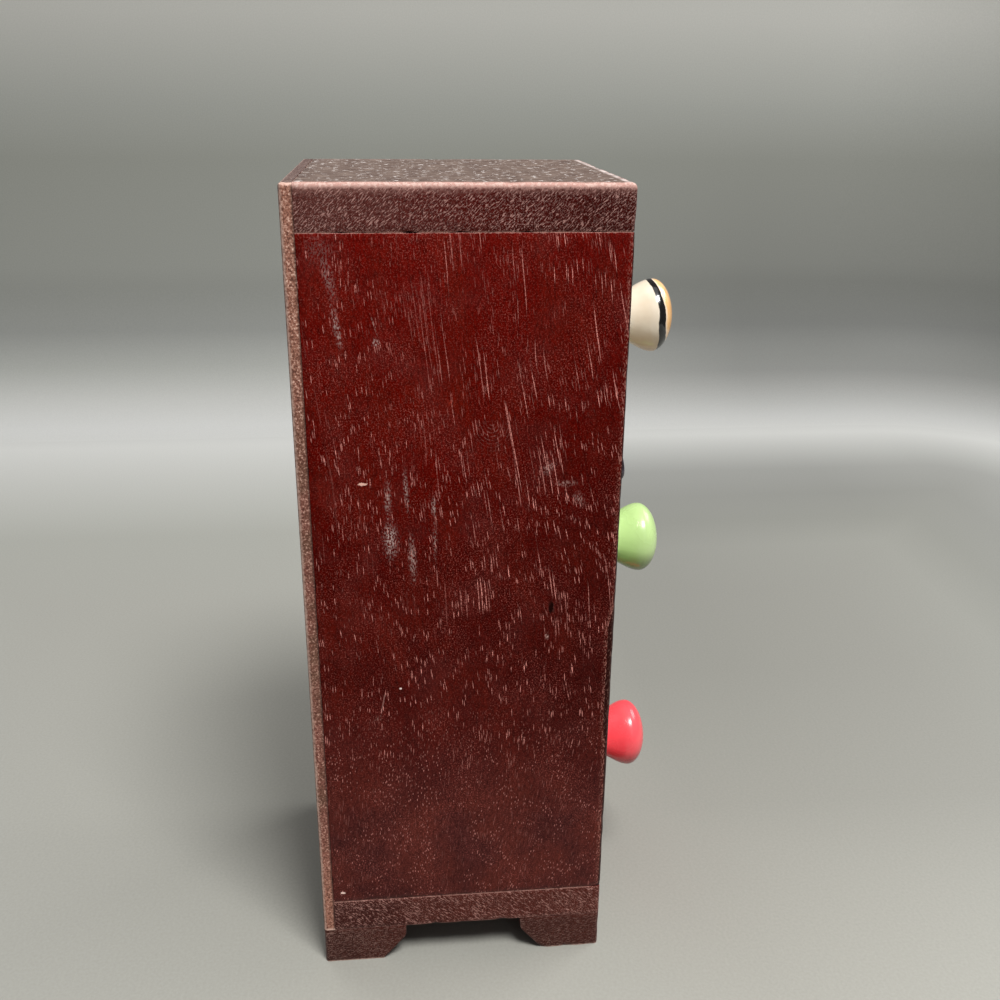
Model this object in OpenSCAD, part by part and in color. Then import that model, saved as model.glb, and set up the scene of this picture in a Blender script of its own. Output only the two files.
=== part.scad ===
// Desktop chest with three mini drawers.
// A stained hardwood case with housed shelves, a nailed-on back panel and four block feet,
// and three slip-cast ceramic drawers with waisted ceramic knobs.
// Millimetres, +Z up, drawer fronts towards -Y. The origin is on the table, under the middle
// of the chest's width and of its whole depth from knob tips to back panel.

/* [Case] */
// Width of the case over both sides
case_w = 99; // [90:1:125]
// Depth of the boards, without the back panel
board_d = 100; // [90:1:130]
// Thickness of the two side boards
side_t = 12.5; // [10:0.5:16]
// Thickness of the top board
top_t = 14; // [12:0.5:18]
// Thickness of the bottom board
bottom_t = 13; // [11:0.5:18]
// Thickness of the two shelves between the drawers
shelf_t = 13; // [10:0.5:18]
// Depth of the housings in the sides that the shelves sit in
housing_d = 3; // [2:0.5:4]
// Thickness of the back panel
back_t = 4; // [3:0.5:6]
// Radius that the corners of the boards are eased to
edge_r = 1.4; // [0.6:0.2:2]
// Radius on the front edge of the top board
nose_r = 2.6; // [1:0.2:4]

/* [Feet] */
// Height of the feet
foot_h = 15; // [12:0.5:20]
// Length of each foot along the side of the case
foot_l = 30.5; // [26:0.5:36]
// Width of each foot along the front and back of the case
foot_w = 27; // [22:0.5:34]
// Height of the upright part above the sloping toe
foot_nose_h = 4.6; // [3:0.2:6]
// Distance that the toe stands in from the upright part
foot_toe = 8.6; // [5:0.2:10]
// Radius on the corner between the upright part and the toe
foot_nose_r = 1.6; // [0.6:0.2:2.4]

/* [Drawers] */
// Height of each drawer opening
opening_h = 72; // [64:1:84]
// Clearance beside the drawer front, on each side
side_gap = 0.7; // [0.4:0.1:1.2]
// Clearance above the drawer front
top_gap = 1; // [0.6:0.1:2]
// Running gap under the drawer
run_gap = 0.3; // [0.2:0.1:0.5]
// Distance that the drawer fronts stand behind the front edges of the case
front_set = 0.8; // [0.4:0.1:3]
// Gap behind a shut drawer
back_gap = 0.5; // [0.3:0.1:2]
// Thickness of the drawer front
front_t = 7.5; // [6:0.5:10]
// Thickness of the drawer's side and back walls
wall_t = 4.5; // [3.5:0.5:6]
// Thickness of the drawer's floor
floor_t = 5; // [4:0.5:7]
// Distance that the drawer's sides stand in from the edges of its front
box_in = 1.2; // [0.6:0.2:2]
// Distance that the rim of the sides and back lies below the top of the front
rim_drop = 9; // [4:0.5:16]
// Radius on the edges of the drawer front
front_r = 2; // [1:0.2:3]
// Radius on the upright corners of the drawer's box, outside
box_r = 7; // [5:0.5:9]
// Radius of the cove between walls and floor, inside
cove_r = 4; // [2:0.5:6]
// Width of the unglazed foot ring under the drawer
ring_w = 7; // [5:0.5:10]
// Depth of the recess inside the foot ring
ring_h = 0.8; // [0.4:0.1:1.2]

/* [Knobs] */
// Length of a knob from the drawer front to its tip
knob_l = 25.8; // [22:0.2:30]
// Radius of a knob's base on the drawer front
knob_base_r = 10.3; // [9:0.1:12]
// Radius of the waist
knob_waist_r = 8.9; // [7:0.1:9.5]
// Distance of the waist from the drawer front
knob_waist_l = 8.4; // [7:0.2:11]
// Radius of the head
knob_head_r = 13; // [11:0.1:16]
// Distance of the widest part of the head from the drawer front
knob_head_l = 19; // [16:0.2:21]
// Height of the top knob above the middle of its opening
top_knob_lift = 1; // [-3:0.1:3]
// Height of the middle knob above the middle of its opening
middle_knob_lift = 1.1; // [-3:0.1:3]
// Height of the bottom knob above the middle of its opening
bottom_knob_lift = -1.2; // [-3:0.1:3]

/* [Fasteners] */
// Diameter of the steel studs that hold the knobs
stud_d = 4; // [3:0.5:5]
// Length of a stud inside its knob
stud_in = 13; // [8:0.5:16]
// Clearance round a stud in the drawer front
stud_gap = 0.4; // [0.2:0.1:0.8]
// Length of stud beyond its nut
stud_spare = 1.5; // [0.5:0.5:3]
// Diameter of the washers
washer_d = 9; // [8:0.5:12]
// Thickness of the washers
washer_t = 0.8; // [0.6:0.1:1.2]
// Width of the hexagon nuts across their corners
nut_w = 8; // [7:0.2:9]
// Thickness of the nuts
nut_t = 3.2; // [2.4:0.1:4]
// Diameter of the wooden dowels between the sides and the top and bottom boards
dowel_d = 6; // [4:0.5:7]
// Length of the dowels
dowel_l = 24; // [18:1:30]
// Depth of the dowels in the top and bottom boards
dowel_bite = 8; // [6:0.5:9]
// Glue room beyond each end of a dowel
dowel_spare = 1; // [0.5:0.5:1.5]
// Distance of the dowels from the front and back ends of the sides
dowel_inset = 22; // [18:1:28]
// Shank diameter of the panel pins and foot brads
nail_d = 1.6; // [1.2:0.1:2]
// Head diameter of the panel pins and foot brads
nail_head_d = 3.2; // [2.6:0.1:4]
// Thickness of a nail's head
nail_head_t = 0.8; // [0.6:0.1:1]
// Length of the pins that hold the back panel
pin_l = 14; // [10:0.5:17]
// Distance of the end pins from the ends of the sides
pin_inset = 18; // [12:1:30]
// Number of pins along each side
pin_rows = 4; // [3:1:6]
// Length of the brads that hold the feet
brad_l = 22; // [18:0.5:24]
// Depth that the brad heads are punched in
brad_set = 1; // [0.5:0.1:1.5]

/* [Colours] */
// Stain on the outside of the case
stain = "maroon"; // [maroon, brown, saddlebrown]
// Colour of the back panel
panel_stain = "rosybrown"; // [rosybrown, peru, tan]
// Glaze of the top drawer
top_glaze = "ivory"; // [ivory, beige, wheat]
// Glaze of the middle drawer
middle_glaze = "yellowgreen"; // [yellowgreen, darkseagreen, khaki]
// Glaze of the bottom drawer
bottom_glaze = "indianred"; // [indianred, crimson, salmon]

/* [Hidden] */

$fn = 48;
BOTTOM = 0;
MIDDLE = 1;
TOP = 2;
LEFT = -1;
RIGHT = 1;
FRONT = -1;
BACK = 1;
// How far a cutting shape runs past the face that it cuts
past = 1;

// Depths along Y
knob_reach = knob_l - front_set;
back_y = (back_t + board_d + knob_reach) / 2;
boards_back_y = back_y - back_t;
case_front_y = boards_back_y - board_d;
front_y = case_front_y + front_set;

// Heights along Z
floor_z = foot_h + bottom_t;
side_h = 3 * opening_h + 2 * shelf_t;
top_z = floor_z + side_h;
function opening_z(level) = floor_z + level * (opening_h + shelf_t);

// Drawer sizes
inner_w = case_w - 2 * side_t;
front_w = inner_w - 2 * side_gap;
front_h = opening_h - run_gap - top_gap;
box_w = front_w - 2 * box_in;
box_h = front_h - rim_drop;
drawer_d = board_d - front_set - back_gap;
knob_lifts = [bottom_knob_lift, middle_knob_lift, top_knob_lift];
function knob_z(level) = opening_z(level) + opening_h / 2 + knob_lifts[level];

// Outline of a knob, as radius and distance from the drawer front: three cubic curves, which
// leave the waist and reach the head along the stud, so that they join smoothly. The shares
// say how far each curve keeps the direction of its start and of its end.
knob_steps = 10;
neck_start = 0.42;
neck_end = 0.45;
flare_start = 0.25;
flare_end = 0.39;
dome_start = 0.5;
dome_flat = 0.62;
flare_l = knob_head_l - knob_waist_l;
dome_l = knob_l - knob_head_l;
function curve(p, t) =
    pow(1 - t, 3) * p[0] + 3 * pow(1 - t, 2) * t * p[1]
    + 3 * (1 - t) * pow(t, 2) * p[2] + pow(t, 3) * p[3];
knob_neck = [
    [knob_base_r, 0],
    [(knob_base_r + knob_waist_r) / 2, knob_waist_l * neck_start],
    [knob_waist_r, knob_waist_l * (1 - neck_end)],
    [knob_waist_r, knob_waist_l]
];
knob_flare = [
    [knob_waist_r, knob_waist_l],
    [knob_waist_r, knob_waist_l + flare_l * flare_start],
    [knob_head_r, knob_head_l - flare_l * flare_end],
    [knob_head_r, knob_head_l]
];
knob_dome = [
    [knob_head_r, knob_head_l],
    [knob_head_r, knob_head_l + dome_l * dome_start],
    [knob_head_r * dome_flat, knob_l],
    [0, knob_l]
];
knob_outline = [
    for (part = [knob_neck, knob_flare, knob_dome], i = [0 : knob_steps - 1])
        curve(part, i / knob_steps)
];

// Waste outside a rounded corner whose point is at the origin
module corner_waste(r) {
    difference() {
        translate([-past, -past]) square(r + past);
        translate([r, r]) circle(r);
    }
}

// Rectangle with eased corners; r holds the radii at the lower left, lower right, upper right
// and upper left, and 0 leaves a corner square
module eased_rect(size, r) {
    difference() {
        square(size);
        if (r[0] > 0) corner_waste(r[0]);
        if (r[1] > 0) translate([size.x, 0]) rotate(90) corner_waste(r[1]);
        if (r[2] > 0) translate(size) rotate(180) corner_waste(r[2]);
        if (r[3] > 0) translate([0, size.y]) rotate(-90) corner_waste(r[3]);
    }
}

// Block cut to an eased outline in plan, from the front and from the side, as a router eases
// a board; the side outline runs from front to back
module eased_block(size, plan = [0, 0, 0, 0], front = [0, 0, 0, 0], side = [0, 0, 0, 0]) {
    intersection() {
        linear_extrude(size.z) eased_rect([size.x, size.y], plan);
        translate([0, size.y, 0]) rotate([90, 0, 0]) {
            linear_extrude(size.y) eased_rect([size.x, size.z], front);
        }
        rotate([90, 0, 90]) linear_extrude(size.x) eased_rect([size.y, size.z], side);
    }
}

// Nail that points along +Z, with the top of its head at the origin
module nail(length) {
    cylinder(h = nail_head_t, d = nail_head_d);
    cylinder(h = length, d = nail_d);
}

module place_dowels() {
    for (side = [LEFT, RIGHT], y = [case_front_y + dowel_inset, boards_back_y - dowel_inset]) {
        x = side * (case_w - side_t) / 2;
        translate([x, y, floor_z]) mirror([0, 0, 1]) children();
        translate([x, y, top_z]) children();
    }
}

// Holes for the dowels, with glue room at both ends
module dowel_holes() {
    place_dowels() translate([0, 0, dowel_bite - dowel_l - dowel_spare]) {
        cylinder(h = dowel_l + 2 * dowel_spare, d = dowel_d);
    }
}

module case_dowels() {
    color("burlywood") place_dowels() translate([0, 0, dowel_bite - dowel_l]) {
        cylinder(h = dowel_l, d = dowel_d);
    }
}

module back_panel_pins() {
    pitch = (side_h - 2 * pin_inset) / (pin_rows - 1);
    middles = [
        foot_h + bottom_t / 2,
        opening_z(MIDDLE) - shelf_t / 2,
        opening_z(TOP) - shelf_t / 2,
        top_z + top_t / 2
    ];
    color("silver") {
        for (side = [LEFT, RIGHT], row = [0 : pin_rows - 1]) {
            translate([side * (case_w - side_t) / 2, back_y, floor_z + pin_inset + row * pitch]) {
                rotate([90, 0, 0]) nail(pin_l);
            }
        }
        for (z = middles) translate([0, back_y, z]) rotate([90, 0, 0]) nail(pin_l);
    }
}

module place_feet() {
    for (side = [LEFT, RIGHT]) {
        translate([side * (case_w - foot_w) / 2, case_front_y + foot_l / 2, 0]) children();
        translate([side * (case_w - foot_w) / 2, back_y - foot_l / 2, 0]) children();
    }
}

module foot_brads() {
    color("silver") place_feet() translate([0, 0, brad_set]) nail(brad_l);
}

// Clear way up to the punched-in heads of the brads
module brad_wells() {
    place_feet() translate([0, 0, -past]) cylinder(h = past + brad_set, d = nail_head_d);
}

module top_board() {
    color(stain) difference() {
        translate([-case_w / 2, case_front_y, top_z]) {
            eased_block(
                [case_w, board_d, top_t],
                plan = [edge_r, edge_r, 0, 0],
                front = [0, 0, edge_r, edge_r],
                side = [0, 0, 0, nose_r]
            );
        }
        dowel_holes();
        back_panel_pins();
    }
}

module bottom_board() {
    color(stain) difference() {
        translate([-case_w / 2, case_front_y, foot_h]) {
            eased_block([case_w, board_d, bottom_t], plan = [edge_r, edge_r, 0, 0]);
        }
        dowel_holes();
        back_panel_pins();
        foot_brads();
    }
}

module side_board(side) {
    color(stain) difference() {
        mirror([side == LEFT ? 1 : 0, 0, 0]) translate([case_w / 2 - side_t, case_front_y, floor_z]) {
            difference() {
                eased_block([side_t, board_d, side_h], plan = [0, edge_r, 0, 0]);
                for (level = [BOTTOM, MIDDLE]) {
                    translate([-past, -past, opening_z(level) + opening_h - floor_z]) {
                        cube([housing_d + past, board_d + 2 * past, shelf_t]);
                    }
                }
            }
        }
        dowel_holes();
        back_panel_pins();
    }
}

// Shelf above the opening of one level
module shelf(level) {
    shelf_w = inner_w + 2 * housing_d;
    color(stain) difference() {
        translate([-shelf_w / 2, case_front_y, opening_z(level) + opening_h]) {
            cube([shelf_w, board_d, shelf_t]);
        }
        back_panel_pins();
    }
}

module back_panel() {
    panel_h = bottom_t + side_h + top_t;
    color(panel_stain) difference() {
        translate([-case_w / 2, boards_back_y, foot_h]) {
            eased_block(
                [case_w, back_t, panel_h],
                plan = [0, 0, edge_r, edge_r],
                front = [0, 0, edge_r, edge_r],
                side = [0, 0, edge_r, 0]
            );
        }
        back_panel_pins();
    }
}

// Outline of a foot: upright below the board, then a slope down to the toe
module foot_outline(length) {
    slope_h = foot_h - foot_nose_h;
    tilt = atan2(foot_toe, slope_h);
    // Centre of the round between the upright part and the slope
    nose_z = slope_h + foot_nose_r * tan(tilt / 2);
    union() {
        polygon([
            [0, 0],
            [length - foot_toe, 0],
            [length - foot_nose_r + foot_nose_r * cos(tilt), nose_z - foot_nose_r * sin(tilt)],
            [length - foot_nose_r, nose_z],
            [length, nose_z],
            [length, foot_h],
            [0, foot_h]
        ]);
        translate([length - foot_nose_r, nose_z]) circle(foot_nose_r);
    }
}

// Block foot; its outer corner is flush with the case and both inner faces slope to the toe
module foot(side, end) {
    depth_y = end == FRONT ? case_front_y : back_y;
    color(stain) difference() {
        translate([side * case_w / 2, depth_y, 0]) {
            mirror([side == RIGHT ? 1 : 0, 0, 0]) mirror([0, end == BACK ? 1 : 0, 0]) intersection() {
                translate([0, foot_l, 0]) rotate([90, 0, 0]) linear_extrude(foot_l) foot_outline(foot_w);
                rotate([90, 0, 90]) linear_extrude(foot_w) foot_outline(foot_l);
                linear_extrude(foot_h) eased_rect([foot_w, foot_l], [edge_r, 0, 0, 0]);
            }
        }
        foot_brads();
        brad_wells();
    }
}

module place_knob(level) {
    translate([0, front_y, knob_z(level)]) rotate([90, 0, 0]) children();
}

// Slip-cast drawer: a thick soft-edged front, and a thinner box with coved corners that stands
// on an unglazed ring
module drawer(level, glaze) {
    cavity = [
        box_w - 2 * wall_t,
        drawer_d - front_t - wall_t,
        front_h - floor_t + past
    ];
    inner_r = box_r - wall_t;
    color(glaze) translate([0, 0, opening_z(level) + run_gap]) difference() {
        union() {
            translate([-front_w / 2, front_y, 0]) {
                eased_block(
                    [front_w, front_t, front_h],
                    plan = [front_r, front_r, 0, 0],
                    front = [front_r, front_r, front_r, front_r],
                    side = [front_r, 0, 0, front_r]
                );
            }
            translate([-box_w / 2, front_y + front_t / 2, 0]) {
                eased_block(
                    [box_w, drawer_d - front_t / 2, box_h],
                    plan = [0, 0, box_r, box_r],
                    front = [front_r, front_r, 0, 0],
                    side = [0, front_r, 0, 0]
                );
            }
        }
        translate([-cavity.x / 2, front_y + front_t, floor_t]) {
            eased_block(
                cavity,
                plan = [inner_r, inner_r, inner_r, inner_r],
                front = [cove_r, cove_r, 0, 0],
                side = [cove_r, cove_r, 0, 0]
            );
        }
        translate([-box_w / 2 + ring_w, front_y + front_t / 2 + ring_w, -past]) {
            cube([box_w - 2 * ring_w, drawer_d - front_t / 2 - 2 * ring_w, ring_h + past]);
        }
        translate([0, 0, -opening_z(level) - run_gap]) place_knob(level) {
            translate([0, 0, -front_t - past]) {
                cylinder(h = front_t + 2 * past, r = stud_d / 2 + stud_gap);
            }
        }
    }
}

// Knob, turned about the stud
module knob(level, glaze) {
    color(glaze) place_knob(level) difference() {
        rotate_extrude() polygon(concat([[0, 0]], knob_outline, [[0, knob_l]]));
        translate([0, 0, -past]) cylinder(h = stud_in + past, d = stud_d);
    }
}

module knob_stud(level) {
    stud_out = front_t + washer_t + nut_t + stud_spare;
    color("silver") place_knob(level) translate([0, 0, -stud_out]) {
        cylinder(h = stud_out + stud_in, d = stud_d);
    }
}

module knob_washer(level) {
    color("silver") place_knob(level) translate([0, 0, -front_t - washer_t]) difference() {
        cylinder(h = washer_t, d = washer_d);
        translate([0, 0, -past]) cylinder(h = washer_t + 2 * past, d = stud_d);
    }
}

module knob_nut(level) {
    color("silver") place_knob(level) translate([0, 0, -front_t - washer_t - nut_t]) difference() {
        cylinder(h = nut_t, d = nut_w, $fn = 6);
        translate([0, 0, -past]) cylinder(h = nut_t + 2 * past, d = stud_d);
    }
}

top_board();
bottom_board();
side_board(LEFT);  // left_side
side_board(RIGHT);  // right_side
shelf(MIDDLE);  // upper_shelf
shelf(BOTTOM);  // lower_shelf
back_panel();
foot(LEFT, FRONT);  // front_left_foot
foot(RIGHT, FRONT);  // front_right_foot
foot(LEFT, BACK);  // back_left_foot
foot(RIGHT, BACK);  // back_right_foot
case_dowels();
back_panel_pins();
foot_brads();
drawer(TOP, top_glaze);  // top_drawer
knob(TOP, top_glaze);  // top_knob
knob_stud(TOP);  // top_knob_stud
knob_washer(TOP);  // top_knob_washer
knob_nut(TOP);  // top_knob_nut
drawer(MIDDLE, middle_glaze);  // middle_drawer
knob(MIDDLE, middle_glaze);  // middle_knob
knob_stud(MIDDLE);  // middle_knob_stud
knob_washer(MIDDLE);  // middle_knob_washer
knob_nut(MIDDLE);  // middle_knob_nut
drawer(BOTTOM, bottom_glaze);  // bottom_drawer
knob(BOTTOM, bottom_glaze);  // bottom_knob
knob_stud(BOTTOM);  // bottom_knob_stud
knob_washer(BOTTOM);  // bottom_knob_washer
knob_nut(BOTTOM);  // bottom_knob_nut
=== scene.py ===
"""Looks of a desktop chest: a stained hardwood case that holds three glazed ceramic drawers."""

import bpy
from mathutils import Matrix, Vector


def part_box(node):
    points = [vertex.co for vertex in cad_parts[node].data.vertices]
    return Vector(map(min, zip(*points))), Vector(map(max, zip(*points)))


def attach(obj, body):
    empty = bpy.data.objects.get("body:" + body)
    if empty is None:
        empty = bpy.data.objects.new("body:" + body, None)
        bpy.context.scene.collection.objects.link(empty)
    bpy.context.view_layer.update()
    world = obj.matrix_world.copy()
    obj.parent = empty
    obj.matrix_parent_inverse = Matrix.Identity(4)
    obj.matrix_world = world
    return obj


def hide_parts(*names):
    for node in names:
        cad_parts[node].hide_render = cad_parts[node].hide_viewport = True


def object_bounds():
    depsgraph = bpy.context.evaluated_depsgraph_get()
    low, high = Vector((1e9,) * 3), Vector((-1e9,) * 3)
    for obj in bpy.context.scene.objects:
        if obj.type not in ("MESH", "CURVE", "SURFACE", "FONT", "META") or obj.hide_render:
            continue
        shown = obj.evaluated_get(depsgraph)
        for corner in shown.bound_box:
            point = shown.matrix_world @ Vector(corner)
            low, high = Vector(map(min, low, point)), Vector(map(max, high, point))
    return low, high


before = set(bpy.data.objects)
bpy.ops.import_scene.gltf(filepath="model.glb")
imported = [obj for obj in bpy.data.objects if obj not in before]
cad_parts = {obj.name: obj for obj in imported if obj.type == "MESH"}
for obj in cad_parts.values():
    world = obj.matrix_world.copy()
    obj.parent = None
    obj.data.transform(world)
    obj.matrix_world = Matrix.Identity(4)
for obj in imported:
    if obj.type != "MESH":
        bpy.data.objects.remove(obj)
cad_size = [list(corner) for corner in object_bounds()]

import math
from collections import namedtuple

import bmesh
import bpy
from mathutils import Matrix, Vector, noise

MM = 0.001

# Height of the chest in mm
CHEST_H = round(cad_size[1][2] / MM)

# Kinds of shader node, each with the settings that it is added with. Both ranges are given a value,
# where it starts and ends, and what they make of it there, which is 0 and 1 unless told
COORDS = ("TexCoord", {})
MAPPING = ("Mapping", {})
PATTERN_MAPPING = ("Mapping", {"vector_type": "TEXTURE"})
NOISE = ("TexNoise", {})
VORONOI = ("TexVoronoi", {})
RAMP = ("ValToRGB", {})
RANGE = ("MapRange", {})
SOFT_RANGE = ("MapRange", {"interpolation_type": "SMOOTHSTEP"})
SPLIT = ("SeparateXYZ", {})
JOIN = ("CombineXYZ", {})
BLEND = ("Mix", {"data_type": "RGBA"})
BUMP = ("Bump", {})
PLUS = ("Math", {"operation": "ADD"})
MINUS = ("Math", {"operation": "SUBTRACT"})
LEFT_OVER = ("Math", {"operation": "SUBTRACT", "use_clamp": True})
TIMES = ("Math", {"operation": "MULTIPLY"})
TIMES_PLUS = ("Math", {"operation": "MULTIPLY_ADD"})
ROOT = ("Math", {"operation": "SQRT"})
SINE = ("Math", {"operation": "SINE"})
UNSIGNED = ("Math", {"operation": "ABSOLUTE"})
LESSER = ("Math", {"operation": "MINIMUM"})
GREATER = ("Math", {"operation": "MAXIMUM"})
BELOW = ("Math", {"operation": "LESS_THAN"})
VECTOR_PLUS = ("VectorMath", {"operation": "ADD"})
VECTOR_MINUS = ("VectorMath", {"operation": "SUBTRACT"})
VECTOR_TIMES = ("VectorMath", {"operation": "MULTIPLY"})
VECTOR_LESSER = ("VectorMath", {"operation": "MINIMUM"})
VECTOR_GREATER = ("VectorMath", {"operation": "MAXIMUM"})
VECTOR_UNSIGNED = ("VectorMath", {"operation": "ABSOLUTE"})
SCALED = ("VectorMath", {"operation": "SCALE"})
LENGTH = ("VectorMath", {"operation": "LENGTH"})
DOT = ("VectorMath", {"operation": "DOT_PRODUCT"})


def linear(code):
    """Linear colour of an sRGB hex value."""
    parts = [int(code[i:i + 2], 16) / 255 for i in (1, 3, 5)]
    return tuple(c / 12.92 if c <= 0.04045 else ((c + 0.055) / 1.055) ** 2.4 for c in parts) + (1.0,)


def give(tree, socket, value):
    """Link an output to a socket, or set the socket to a value."""
    if isinstance(value, bpy.types.NodeSocket):
        tree.links.new(value, socket)
    else:
        socket.default_value = value


def put(tree, kind, *values, out=None, stops=(), **named):
    """Add a shader node, and return its output of a name, or else its first. Links and values go to
    the inputs that its settings leave it, in their order, or by name; stops go to a ramp."""
    type_name, settings = kind
    node = tree.nodes.new("ShaderNode" + type_name)
    for name, setting in settings.items():
        setattr(node, name, setting)
    inputs = [socket for socket in node.inputs if socket.enabled]
    for socket, value in zip(inputs, values):
        give(tree, socket, value)
    for name, value in named.items():
        give(tree, node.inputs[name], value)
    for place, (position, colour) in enumerate(stops):
        known = place < len(node.color_ramp.elements)
        stop = node.color_ramp.elements[place] if known else node.color_ramp.elements.new(position)
        stop.position = position
        stop.color = colour
    if out:
        return node.outputs[out]
    return next(socket for socket in node.outputs if socket.enabled)


def finish(name):
    """An empty material: its node tree and its Principled shader."""
    material = bpy.data.materials.new(name)
    material.use_nodes = True
    return material, material.node_tree, material.node_tree.nodes["Principled BSDF"]


def set_shader(tree, shader, **sockets):
    """Give the Principled shader its inputs; a socket's name is written with _ for a space."""
    for name, value in sockets.items():
        give(tree, shader.inputs[name.replace("_", " ")], value)


def in_mm(tree):
    """Place on the object in millimetres, in the row frame."""
    place = put(tree, COORDS, out="Object")
    return put(tree, SCALED, place, 1000)


def box_in_mm(node):
    """Low and high corner of a CAD node in millimetres."""
    return [tuple(corner / MM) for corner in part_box(node)]


def mottle(tree, place, size, start, full, least=0.0, most=1.0, detail=2, seed=0.0, lean=0.0):
    """Cloudy patches of a size in mm, leant about X: least where the cloud is below start, most
    past full."""
    sizes = size if isinstance(size, tuple) else (size, size, size)
    spot = put(tree, PATTERN_MAPPING, place, (seed, seed, seed), (lean, 0, 0), sizes)
    cloud = put(tree, NOISE, Vector=spot, Scale=1, Detail=detail, Roughness=0.6)
    return put(tree, RANGE, cloud, start, full, least, most)


# ---------------------------------------------------------------- wood

# How a board is stained and worn: reds are the stain at heights in mm, patch is the brown of its
# patches, ends the end grain's stain from front to back, specks the colours of the pores and of the
# grit, grit how much of it shows, cut and lean how strong the saw strokes are on the end grain, and
# their slope in degrees, and rubs its rubbed edges
Stain = namedtuple("Stain", "reds patch ends specks grit cut lean rubs")

# A rubbed edge: its reach in mm, how strong and how dotted it is, and which edges of a board it
# follows: the flat ones, only those round the top but for its back, only those at the foot, or all
Rub = namedtuple("Rub", "colour reach amount dotted where")

# A mark of use: its centre and half sizes in mm, its lean, how strong it is, and whether it is torn
Mark = namedtuple("Mark", "y z across up lean colour strength torn")

# A board under its finish: node tree, place in mm, its second and third part, the place with the
# grain laid along Z, the normal, both corners in mm, the stain and the seed of the clouds
Board = namedtuple("Board", "tree place y z fibres normal low high look seed")

# Turns that lay a board's grain along Z, and the way the grain lies on the board
GRAIN_TURN = {"x": (0, math.radians(90), 0), "z": (0, 0, 0)}
GRAIN_AXIS = {"x": (1, 0, 0), "z": (0, 0, 1)}

# Grain in mm: how far it wanders and within what length, and on the sides the height at which it
# turns, how softly, and from where to where its lean eases off towards the back
WANDER = 5
WANDER_L = 40
GRAIN_TURN_Z = 108
GRAIN_BOW = 30
LEAN_FROM, LEAN_TO = -35, 50

# Distance in mm that takes a side of a box too far off to count as an edge
FAR = 100

# Grains in mm on the varnish and on the edges of the plywood
GRIT = 0.5
PLY_GRIT = 0.7


def lie_of_grain(tree, place, along, bow):
    """Place with the grain laid along Z. It wanders a little, and a bow makes it lean one way above
    the turn and the other way below, most of all at the front."""
    fibres = put(tree, MAPPING, Vector=place, Rotation=GRAIN_TURN[along])
    wander = put(tree, NOISE, Vector=fibres, Scale=1 / WANDER_L, Detail=1, out="Color")
    wander = put(tree, VECTOR_MINUS, wander, (0.5, 0.5, 0.5))
    wander = put(tree, VECTOR_TIMES, wander, (WANDER, WANDER, 0))
    fibres = put(tree, VECTOR_PLUS, fibres, wander)
    if not bow:
        return fibres
    x, y, z = put(tree, SPLIT, fibres).node.outputs
    lift = put(tree, MINUS, z, GRAIN_TURN_Z)
    square = put(tree, TIMES_PLUS, lift, lift, GRAIN_BOW ** 2)
    curved = put(tree, ROOT, square)
    lean = put(tree, RANGE, y, LEAN_FROM, LEAN_TO, -bow, -0.35 * bow)
    y = put(tree, TIMES_PLUS, curved, lean, y)
    return put(tree, JOIN, x, y, z)


def pores(tree, place, wide, long, kept, seed):
    """Masks of open pores and of the stain that gathered beside them: thin ellipses along Z, one at
    most in each cell of wide x wide x long mm and none in most cells."""
    shift = (seed, 1.7 * seed, 2.3 * seed)
    cells = put(tree, PATTERN_MAPPING, Vector=place, Location=shift, Scale=(wide, wide, long))
    near = put(tree, VORONOI, Vector=cells, Scale=1)
    luck, other_luck, _ = put(tree, SPLIT, near.node.outputs["Color"]).node.outputs
    chosen = put(tree, BELOW, luck, kept)
    bright = put(tree, RANGE, other_luck, 0, 1, 0.4)
    seen = put(tree, TIMES, chosen, bright)
    spot = put(tree, RANGE, near, 0.3, 0.2)
    rim = put(tree, RANGE, near, 0.6, 0.3, 0, 0.7)
    spot = put(tree, TIMES, spot, seen)
    return spot, put(tree, TIMES, rim, seen)


def edge_wear(tree, place, box, rub):
    """Mask of rubbed edges: full on the edges of a box, ragged or dotted, and 0 past the reach."""
    low, high = box
    low = (low[0], low[1], low[2] - FAR * (rub.where == "top"))
    high = (high[0], high[1] + FAR * (rub.where == "top"), high[2] + FAR * (rub.where == "foot"))
    from_low = put(tree, VECTOR_MINUS, place, low)
    from_high = put(tree, VECTOR_MINUS, high, place)
    near = put(tree, VECTOR_LESSER, from_low, from_high)
    x, y, z = put(tree, SPLIT, near).node.outputs
    edge = put(tree, LESSER, x, y)
    edge = put(tree, GREATER, edge, z)
    if rub.where == "all":
        upright = put(tree, GREATER, x, y)
        edge = put(tree, LESSER, edge, upright)
    swing = rub.dotted * rub.reach
    ragged = mottle(tree, place, 1.1, 0.0, 1.0, -swing, swing, detail=4)
    edge = put(tree, PLUS, edge, ragged)
    mask = put(tree, SOFT_RANGE, edge, rub.reach, 0.2 * rub.reach)
    return put(tree, TIMES, mask, rub.amount)


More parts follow.
